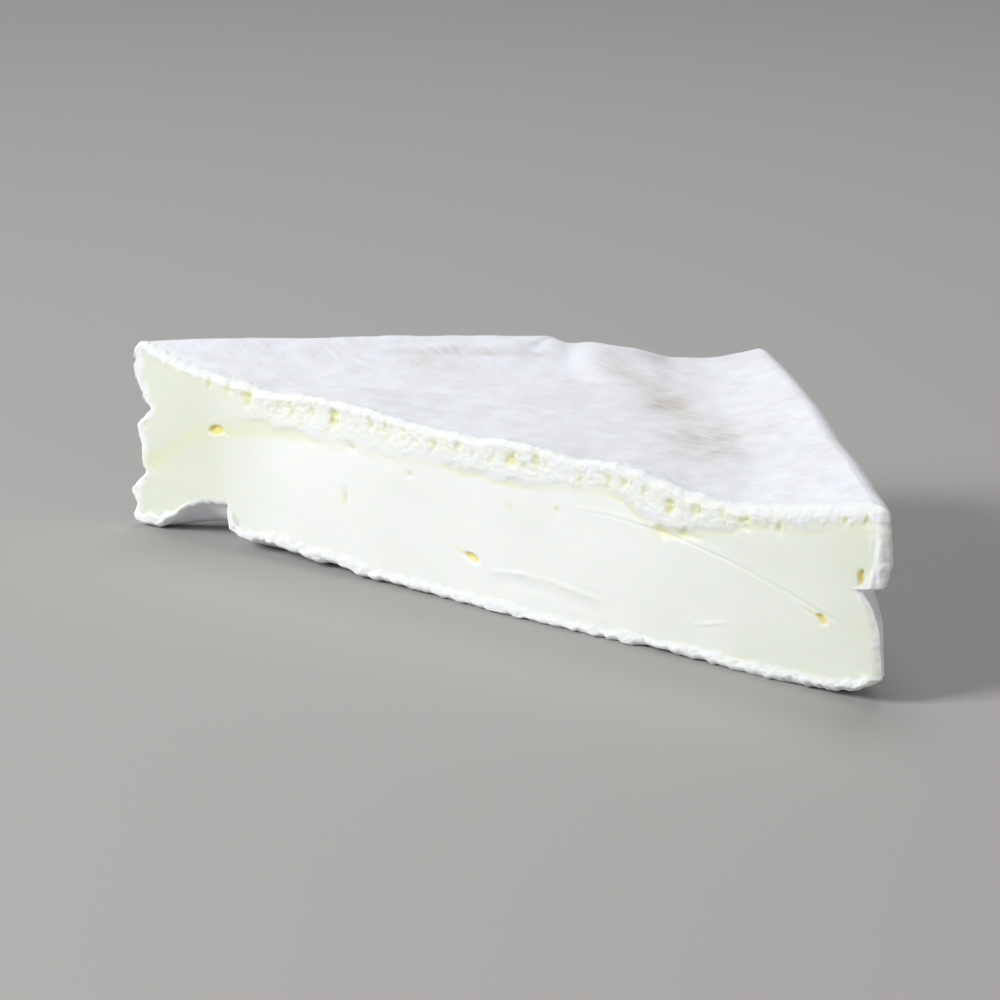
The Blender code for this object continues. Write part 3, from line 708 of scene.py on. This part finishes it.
# Where the sides turn beige, partly worn and partly painted shade, and the crease beside the thicker
# strip, whose beige is painted shade
CREASE_DROP, CREASE_WIDTH = 0.3 * MM, 0.9 * MM
CREASE_START, CREASE_RISE = -62.0 * MM, 12.0 * MM
CREASE_FALL = 4.0 * MM
TOP_SHARE = 0.75
WEAR_AND_SHADE, WEAR_AND_SHADE_HEIGHT, WEAR_AND_SHADE_SEED = 9.0 * MM, 5.0 * MM, 79
FINE_WEAR_AND_SHADE, FINE_WEAR_AND_SHADE_HEIGHT, FINE_WEAR_AND_SHADE_SEED = 3.0 * MM, 9.0 * MM, 80
WEAR_AND_SHADE_STRENGTH = 0.42
WEAR_AND_SHADE_WIDTH = 5.0 * MM
WEAR_AND_SHADE_START = 6.0 * MM

# How far behind the cut its crumbled white reaches
CUT_START, CUT_FADE = 0.3 * MM, 2.6 * MM


def cheese_grid():
    """The outline of the piece at each station along the cut, and its masks."""
    steps = np.linspace(-1, 1, STATIONS)
    x = HALF_CUT * ((1 - END_CROWDING) * steps + END_CROWDING * np.sin(steps * np.pi / 2))
    depth, slope = plan(x)
    column = x[:, None]

    top_f = rows_across(depth, slope, TOP_ROUND, TOP_LIP_ROWS, TOP_ROWS, TOP_ROUND_ROWS)
    top_z = rind_top(column, top_f)
    low_f = rows_across(depth, slope, BOTTOM_ROUND, BOTTOM_LIP_ROWS, BOTTOM_ROWS, BOTTOM_ROUND_ROWS)
    low_f = low_f[:, ::-1]
    low_z = bottom_height(column, low_f) + turned(low_f, 0.8 * lip_round(column))
    gaps = 0.8 - beads(column / BOTTOM_BEAD, low_f / BOTTOM_BEAD, GAP_SEED)
    gaps = gaps + 0.15 * lumps(column / GAP_NOISE, 0 * column, GAP_NOISE_SEED)
    low_z = np.maximum(low_z + BOTTOM_BEAD_HEIGHT * gaps * (1 - ease(low_f / GRAIN_REACH)), 0)

    down = np.linspace(0, 1, SIDE_ROWS + 2)[None, 1:-1]
    side_z = top_z[:, -1:] + (low_z[:, :1] - top_z[:, -1:]) * down
    wide = ease(depth / BELLY_GROWTH)[:, None]
    folds = lumps(column / FOLD, side_z / FOLD_HEIGHT, FOLD_SEED)
    folds = folds + lumps(column / WIDE_FOLD, side_z / WIDE_FOLD, WIDE_FOLD_SEED)
    folds = folds + 0.5 * lumps(column / FINE_FOLD, side_z / FINE_FOLD_HEIGHT, FINE_FOLD_SEED)
    belly = BELLY * np.sin(np.pi * down) * wide
    out = belly + SIDE_WRINKLE * folds * np.sin(np.pi * down) * (0.4 + 0.6 * wide)
    across = np.sqrt(1 + slope**2)[:, None]
    side_x = column - out * slope[:, None] / across
    side_f = depth[:, None] + out / across

    rise = np.interp(np.linspace(0, 1, FACE_ROWS), FACE_ROW_PLACES, FACE_ROW_HEIGHTS)[None]
    face_z = low_z[:, -1:] + (top_z[:, :1] - low_z[:, -1:]) * rise
    face_x = column + 0 * face_z
    torn_x = face_x + end_shift(face_x, face_z)
    relief, white, yellow_and_shade, golden, pale = face_relief(torn_x, face_z, HALF_CUT - abs(face_x))
    face_f = -relief * (0.4 + 0.6 * ease(depth / FULL_RELIEF))[:, None]

    # The edge at the right end is rounded back, and the rows behind it close up
    recess = 0.9 * turned(HALF_CUT - x, END_LIP)
    recess = np.minimum(recess, 0.75 * depth)[:, None]
    squeeze = 1 - recess / depth[:, None]
    top_f = recess + squeeze * top_f
    low_f = recess + squeeze * low_f
    face_f = recess + face_f
    low_f = low_f[:, :-1]
    grid_x = np.concatenate([column + 0 * top_f, side_x, column + 0 * low_f, face_x], axis=1)
    grid_f = np.concatenate([top_f, side_f, low_f, face_f], axis=1)
    grid_z = np.concatenate([top_z, side_z, low_z[:, :-1], face_z], axis=1)
    grid = np.stack([grid_x, grid_f, grid_z], axis=2)[:, 1:]
    rind_rows = grid.shape[1] - FACE_ROWS

    thin_and_shade = thin_rind_and_shade(grid[..., 0], grid[..., 1])
    from_left = (HALF_CUT + grid[..., 0] - grid[..., 1]) / np.sqrt(2)
    # Painted shade: beige in the crease at the foot of the thicker strip
    crease = np.exp(-(((from_left - FLAP_WIDTH - CREASE_DROP) / CREASE_WIDTH) ** 2))
    along = (grid[..., 0] + grid[..., 1] - HALF_CUT) / 2
    crease = crease * ease((along - CREASE_START) / CREASE_RISE)
    crease = crease * ease((MOUND_START - along) / CREASE_FALL)
    on_top = grid[..., 2] > TOP_SHARE * MIDDLE_HEIGHT
    across = from_side(grid[..., 0], grid[..., 1])
    # Beige patches along the sides: partly wear of the mould, partly painted shade on the side rind and
    # its rounded edge
    wear_and_shade = lumps(along / WEAR_AND_SHADE, grid[..., 2] / WEAR_AND_SHADE_HEIGHT, WEAR_AND_SHADE_SEED)
    wear_and_shade = wear_and_shade + lumps(along / FINE_WEAR_AND_SHADE, grid[..., 2] / FINE_WEAR_AND_SHADE_HEIGHT, FINE_WEAR_AND_SHADE_SEED)
    wear_and_shade = WEAR_AND_SHADE_STRENGTH * ease(0.35 + 0.6 * wear_and_shade) * ease((WEAR_AND_SHADE_WIDTH - across) / WEAR_AND_SHADE_WIDTH)
    wear_and_shade = wear_and_shade * ease(grid[..., 1] / WEAR_AND_SHADE_START)
    no_rind = np.zeros((STATIONS, rind_rows))
    masks = {
        # Beige on the rind: thin mould and wear, with painted shade in the top's hollows, in the crease
        # beside the strip and on the sides
        "thin_and_shade": (thin_and_shade + 0.45 * crease) * on_top + wear_and_shade,
        "cut": 1 - ease((grid[..., 1] - CUT_START) / CUT_FADE),
        "white": np.concatenate([no_rind + 1, white], axis=1),
        "yellow_and_shade": np.concatenate([no_rind, yellow_and_shade], axis=1),
        "golden": np.concatenate([no_rind, golden], axis=1),
        "pale": np.concatenate([no_rind + 1, pale], axis=1),
    }
    grid[..., 0] = grid[..., 0] + end_shift(grid[..., 0], grid[..., 2])
    return grid, masks


# Felt of the mould: fine tufts, and a slower mottle that is a share of their scale
FUZZ_SCALE = 900
FUZZ_DETAIL, FUZZ_ROUGHNESS = 5, 0.65
MOTTLE_DETAIL, MOTTLE_ROUGHNESS = 4, 0.6
MOTTLE_SHARE = 0.14


def mould_fuzz_group():
    """Shader group: the height of a felt of fine mould, soft tufts with finer hairs on them."""
    group = bpy.data.node_groups.new("Mould fuzz", "ShaderNodeTree")
    group.interface.new_socket("Vector", in_out="INPUT", socket_type="NodeSocketVector")
    tuft = group.interface.new_socket("Tuft scale", in_out="INPUT", socket_type="NodeSocketFloat")
    tuft.default_value = FUZZ_SCALE
    group.interface.new_socket("Height", in_out="OUTPUT", socket_type="NodeSocketFloat")
    group.interface.new_socket("Mottle", in_out="OUTPUT", socket_type="NodeSocketFloat")
    nodes, links = group.nodes, group.links
    entry = nodes.new("NodeGroupInput")
    leave = nodes.new("NodeGroupOutput")
    tufts = nodes.new("ShaderNodeTexNoise")
    tufts.inputs["Detail"].default_value = FUZZ_DETAIL
    tufts.inputs["Roughness"].default_value = FUZZ_ROUGHNESS
    mottle = nodes.new("ShaderNodeTexNoise")
    mottle.inputs["Detail"].default_value = MOTTLE_DETAIL
    mottle.inputs["Roughness"].default_value = MOTTLE_ROUGHNESS
    slower = nodes.new("ShaderNodeMath")
    slower.operation = "MULTIPLY"
    slower.inputs[1].default_value = MOTTLE_SHARE
    links.new(entry.outputs["Vector"], tufts.inputs["Vector"])
    links.new(entry.outputs["Tuft scale"], tufts.inputs["Scale"])
    links.new(entry.outputs["Tuft scale"], slower.inputs[0])
    links.new(entry.outputs["Vector"], mottle.inputs["Vector"])
    links.new(slower.outputs["Value"], mottle.inputs["Scale"])
    links.new(tufts.outputs["Fac"], leave.inputs["Height"])
    links.new(mottle.outputs["Fac"], leave.inputs["Mottle"])


def mixed(tree, mask, low, high):
    """A colour that turns from low to high with the mask. Each may be a plain value or a socket."""
    mix = tree.nodes.new("ShaderNodeMix")
    mix.data_type = "RGBA"
    for socket, value in ((mix.inputs[0], mask), (mix.inputs[6], low), (mix.inputs[7], high)):
        if isinstance(value, (tuple, float, int)):
            socket.default_value = value
        else:
            tree.links.new(value, socket)
    return mix.outputs[2]


def scaled(tree, value, factor, add=0.0):
    """The value times a factor, plus a little more."""
    node = tree.nodes.new("ShaderNodeMath")
    node.operation = "MULTIPLY_ADD"
    node.use_clamp = True
    tree.links.new(value, node.inputs[0])
    node.inputs[1].default_value = factor
    node.inputs[2].default_value = add
    return node.outputs["Value"]


def stored(tree, name):
    """A mask that the mesh holds on its points."""
    node = tree.nodes.new("ShaderNodeAttribute")
    node.attribute_name = name
    return node.outputs["Fac"]


# Colours of the rind, its ribs, and how strongly mottle, ribs and beige places tint it (factor, add).
# The grey of the ribs is partly painted shade, and the beige is partly painted shade in hollows, the
# crease and on the sides
RIND_WHITE = (0.848, 0.87, 0.933, 1)
RIND_GREY = (0.72, 0.72, 0.75, 1)
RIND_BEIGE = (0.52, 0.485, 0.41, 1)
RIND_CUT = (0.79, 0.812, 0.822, 1)
RIND_TUFTS = 1400
RIND_BEND_SCALE, RIND_BEND_DETAIL = 55, 2
RIND_BEND = 9.0 * MM
RIND_RIB_SCALE, RIND_RIB_DETAIL, RIND_RIB_ROUGHNESS = 1100, 5, 0.6
RIND_RIB_STRETCH = (0.14, 1, 0.3)
RIND_RIB_TURN = -np.pi / 4
RIND_MOTTLE_TINT = (1.7, -0.6)
RIND_RIB_TINT = (2.6, -1.0)
RIND_PLACE_TINT = (4.0, -1.6)
RIND_BEIGE_TINT = (2.5, -0.42)
RIND_RIB_BUMP, RIND_RIB_STRENGTH = 0.14 * MM, 0.6
RIND_FUZZ_BUMP, RIND_FUZZ_STRENGTH = 0.12 * MM, 0.9
RIND_FINISH = {
    "Roughness": 0.9,
    "Specular IOR Level": 0.2,
    "Sheen Weight": 0.25,
    "Sheen Roughness": 0.6,
    "Subsurface Weight": 0.35,
    "Subsurface Radius": (1.0, 0.9, 0.75),
    "Subsurface Scale": 0.8 * MM,
}


def rind_material():
    """White mould: grey mottle, grey ribs that are partly painted shade, beige where it is thin and
    painted shade in hollows, the crease and on the sides, and crumbled along the cut.
    """
    material = bpy.data.materials.new("bloomy rind")
    material.use_nodes = True
    tree = material.node_tree
    shader = tree.nodes["Principled BSDF"]
    place = tree.nodes.new("ShaderNodeTexCoord").outputs["Object"]

    fuzz = tree.nodes.new("ShaderNodeGroup")
    fuzz.node_tree = bpy.data.node_groups["Mould fuzz"]
    fuzz.inputs["Tuft scale"].default_value = RIND_TUFTS
    tree.links.new(place, fuzz.inputs["Vector"])

    bend = tree.nodes.new("ShaderNodeTexNoise")
    bend.inputs["Scale"].default_value = RIND_BEND_SCALE
    bend.inputs["Detail"].default_value = RIND_BEND_DETAIL
    tree.links.new(place, bend.inputs["Vector"])
    bent = tree.nodes.new("ShaderNodeVectorMath")
    bent.operation = "MULTIPLY_ADD"
    bent.inputs[1].default_value = (RIND_BEND, RIND_BEND, RIND_BEND)
    tree.links.new(bend.outputs["Color"], bent.inputs[0])
    tree.links.new(place, bent.inputs[2])
    turn = tree.nodes.new("ShaderNodeMapping")
    turn.inputs["Rotation"].default_value = (0, 0, RIND_RIB_TURN)
    turn.inputs["Scale"].default_value = RIND_RIB_STRETCH
    tree.links.new(bent.outputs["Vector"], turn.inputs["Vector"])
    ribs = tree.nodes.new("ShaderNodeTexNoise")
    ribs.inputs["Scale"].default_value = RIND_RIB_SCALE
    ribs.inputs["Detail"].default_value = RIND_RIB_DETAIL
    ribs.inputs["Roughness"].default_value = RIND_RIB_ROUGHNESS
    tree.links.new(turn.outputs["Vector"], ribs.inputs["Vector"])

    grey = scaled(tree, fuzz.outputs["Mottle"], *RIND_MOTTLE_TINT)
    color = mixed(tree, grey, RIND_WHITE, RIND_GREY)
    # Grey on the ribs: partly the mould's tone, partly painted shade of the ribs
    wear_and_shade = tree.nodes.new("ShaderNodeMath")
    wear_and_shade.operation = "MULTIPLY"
    wear_and_shade.use_clamp = True
    tree.links.new(scaled(tree, ribs.outputs["Fac"], *RIND_RIB_TINT), wear_and_shade.inputs[0])
    tree.links.new(scaled(tree, bend.outputs["Fac"], *RIND_PLACE_TINT), wear_and_shade.inputs[1])
    color = mixed(tree, wear_and_shade.outputs["Value"], color, RIND_GREY)
    patch = tree.nodes.new("ShaderNodeMath")
    patch.operation = "MULTIPLY"
    patch.use_clamp = True
    tree.links.new(stored(tree, "thin_and_shade"), patch.inputs[0])
    tree.links.new(scaled(tree, ribs.outputs["Fac"], *RIND_BEIGE_TINT), patch.inputs[1])
    color = mixed(tree, patch.outputs["Value"], color, RIND_BEIGE)
    color = mixed(tree, stored(tree, "cut"), color, RIND_CUT)
    tree.links.new(color, shader.inputs["Base Color"])

    rib_bump = tree.nodes.new("ShaderNodeBump")
    rib_bump.inputs["Distance"].default_value = RIND_RIB_BUMP
    rib_bump.inputs["Strength"].default_value = RIND_RIB_STRENGTH
    tree.links.new(ribs.outputs["Fac"], rib_bump.inputs["Height"])
    fuzz_bump = tree.nodes.new("ShaderNodeBump")
    fuzz_bump.inputs["Distance"].default_value = RIND_FUZZ_BUMP
    fuzz_bump.inputs["Strength"].default_value = RIND_FUZZ_STRENGTH
    tree.links.new(fuzz.outputs["Height"], fuzz_bump.inputs["Height"])
    tree.links.new(rib_bump.outputs["Normal"], fuzz_bump.inputs["Normal"])
    tree.links.new(fuzz_bump.outputs["Normal"], shader.inputs["Normal"])

    for socket, value in RIND_FINISH.items():
        shader.inputs[socket].default_value = value
    return material


# Colours of the paste, how uneven its colour, roughness and crumb are (factor, add), and its sheen
PASTE_IVORY = (0.725, 0.758, 0.665, 1)
PASTE_PALE = (0.836, 0.855, 0.845, 1)
# PASTE_YELLOW also gives the painted shade under the band's step and between the lumps of the low rind
PASTE_YELLOW = (0.74, 0.75, 0.44, 1)
PASTE_GOLD = (0.80, 0.72, 0.28, 1)
PASTE_CLOUD_SCALE, PASTE_CLOUD_DETAIL = 60, 3
PASTE_SPECK_SCALE, PASTE_SPECK_DETAIL = 900, 4
PASTE_PALE_SHARE = (0.4, 0.8)
PASTE_ROUGHNESS = (0.3, 0.26)
CRUMB_ROUGHNESS = 0.35
PASTE_CRUMB = (0.9, 0.1)
PASTE_BUMP, PASTE_BUMP_STRENGTH = 0.25 * MM, 0.8
PASTE_FINISH = {
    "IOR": 1.4,
    "Specular IOR Level": 0.45,
    "Subsurface Weight": 1.0,
    "Subsurface Radius": (1.0, 0.9, 0.65),
    "Subsurface Scale": 0.9 * MM,
}


def paste_material():
    """Ivory paste, paler in the middle and with painted shade towards the right end, with white crumb,
    yellow pits, yellow painted shade under the band's step and between the low lumps, and golden eyes.
    """
    material = bpy.data.materials.new("ripened paste")
    material.use_nodes = True
    tree = material.node_tree
    shader = tree.nodes["Principled BSDF"]
    place = tree.nodes.new("ShaderNodeTexCoord").outputs["Object"]

    cloud = tree.nodes.new("ShaderNodeTexNoise")
    cloud.inputs["Scale"].default_value = PASTE_CLOUD_SCALE
    cloud.inputs["Detail"].default_value = PASTE_CLOUD_DETAIL
    tree.links.new(place, cloud.inputs["Vector"])
    speck = tree.nodes.new("ShaderNodeTexNoise")
    speck.inputs["Scale"].default_value = PASTE_SPECK_SCALE
    speck.inputs["Detail"].default_value = PASTE_SPECK_DETAIL
    tree.links.new(place, speck.inputs["Vector"])

    uneven = scaled(tree, cloud.outputs["Fac"], *PASTE_PALE_SHARE)
    pale = tree.nodes.new("ShaderNodeMath")
    pale.operation = "MULTIPLY"
    pale.use_clamp = True
    tree.links.new(stored(tree, "pale"), pale.inputs[0])
    tree.links.new(uneven, pale.inputs[1])
    color = mixed(tree, pale.outputs["Value"], PASTE_IVORY, PASTE_PALE)
    color = mixed(tree, stored(tree, "white"), color, RIND_CUT)
    color = mixed(tree, stored(tree, "yellow_and_shade"), color, PASTE_YELLOW)
    color = mixed(tree, stored(tree, "golden"), color, PASTE_GOLD)
    tree.links.new(color, shader.inputs["Base Color"])

    rough = tree.nodes.new("ShaderNodeMath")
    rough.operation = "MULTIPLY_ADD"
    tree.links.new(stored(tree, "white"), rough.inputs[0])
    rough.inputs[1].default_value = CRUMB_ROUGHNESS
    tree.links.new(scaled(tree, cloud.outputs["Fac"], *PASTE_ROUGHNESS), rough.inputs[2])
    tree.links.new(rough.outputs["Value"], shader.inputs["Roughness"])

    crumbly = tree.nodes.new("ShaderNodeMath")
    crumbly.operation = "MULTIPLY"
    tree.links.new(speck.outputs["Fac"], crumbly.inputs[0])
    tree.links.new(scaled(tree, stored(tree, "white"), *PASTE_CRUMB), crumbly.inputs[1])
    bump = tree.nodes.new("ShaderNodeBump")
    bump.inputs["Distance"].default_value = PASTE_BUMP
    bump.inputs["Strength"].default_value = PASTE_BUMP_STRENGTH
    tree.links.new(crumbly.outputs["Value"], bump.inputs["Height"])
    tree.links.new(bump.outputs["Normal"], shader.inputs["Normal"])

    for socket, value in PASTE_FINISH.items():
        shader.inputs[socket].default_value = value
    return material


mould_fuzz_group()
grid, masks = cheese_grid()
cheese = bpy.data.objects.new("cheese_half", lofted_mesh("cheese_half", grid, masks, FACE_ROWS))
cheese.data.materials.append(rind_material())
cheese.data.materials.append(paste_material())
bpy.context.scene.collection.objects.link(cheese)
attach(cheese, "root")
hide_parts("cheese_wedge")


# Photograph's view, floor and light
# The camera stands to the right of the cut and a little above the top, far off with a long lens.

CAMERA_PLACE = Vector((595.43, -806.99, 271.29)) * MM
CAMERA_AZIMUTH = np.radians(37.96)
CAMERA_ELEVATION = np.radians(14.44)
CAMERA_ROLL = np.radians(1.95)
LENS_MM = 180
SENSOR_MM = 36

camera = bpy.data.objects.new("camera", bpy.data.cameras.new("camera"))
camera.data.lens = LENS_MM
camera.data.sensor_width = SENSOR_MM
towards = Vector((
    np.sin(CAMERA_AZIMUTH) * np.cos(CAMERA_ELEVATION),
    -np.cos(CAMERA_AZIMUTH) * np.cos(CAMERA_ELEVATION),
    np.sin(CAMERA_ELEVATION),
))
sideways = Vector((np.cos(CAMERA_AZIMUTH), np.sin(CAMERA_AZIMUTH), 0))
upright = towards.cross(sideways)
turned_side = np.cos(CAMERA_ROLL) * sideways + np.sin(CAMERA_ROLL) * upright
turned_up = np.cos(CAMERA_ROLL) * upright - np.sin(CAMERA_ROLL) * sideways
facing = Matrix((turned_side, turned_up, towards)).transposed().to_4x4()
camera.matrix_world = Matrix.Translation(CAMERA_PLACE) @ facing
bpy.context.scene.collection.objects.link(camera)
bpy.context.scene.camera = camera

FLOOR_HALF = 3.0
FLOOR_DROP = 0.05 * MM
FLOOR_COLOR = (0.42, 0.41, 0.40, 1)
FLOOR_ROUGHNESS = 0.8


def floor_material():
    """Plain pale matt grey."""
    material = bpy.data.materials.new("pale floor")
    material.use_nodes = True
    shader = material.node_tree.nodes["Principled BSDF"]
    shader.inputs["Base Color"].default_value = FLOOR_COLOR
    shader.inputs["Roughness"].default_value = FLOOR_ROUGHNESS
    return material


floor_mesh = bpy.data.meshes.new("floor")
floor_corners = [(FLOOR_HALF * x, FLOOR_HALF * y, 0) for x, y in ((-1, -1), (1, -1), (1, 1), (-1, 1))]
floor_mesh.from_pydata(floor_corners, [], [(0, 1, 2, 3)])
floor_mesh.materials.append(floor_material())
floor = bpy.data.objects.new("floor", floor_mesh)
floor.location.z = -FLOOR_DROP
bpy.context.scene.collection.objects.link(floor)


def soft_light(name, place, size, watts):
    """A square soft light at a place in metres, of this width and power, that looks at the cheese."""
    light = bpy.data.objects.new(name, bpy.data.lights.new(name, "AREA"))
    light.data.size = size
    light.data.energy = watts
    light.location = place
    light.rotation_euler = (-Vector(place)).to_track_quat("-Z", "Y").to_euler()
    bpy.context.scene.collection.objects.link(light)


WORLD_STRENGTH = 0.22

soft_light("window", (-0.5, -1.1, 0.65), 0.5, 17)
soft_light("top", (-0.35, 0.45, 1.0), 0.6, 4.2)
soft_light("right wall", (1.15, -0.12, 0.15), 0.5, 2.4)

world = bpy.data.worlds.new("studio")
world.use_nodes = True
world.node_tree.nodes["Background"].inputs["Color"].default_value = (1, 1, 1, 1)
world.node_tree.nodes["Background"].inputs["Strength"].default_value = WORLD_STRENGTH
bpy.context.scene.world = world
bpy.context.scene.view_settings.view_transform = "Standard"
bpy.context.scene.view_settings.look = "None"
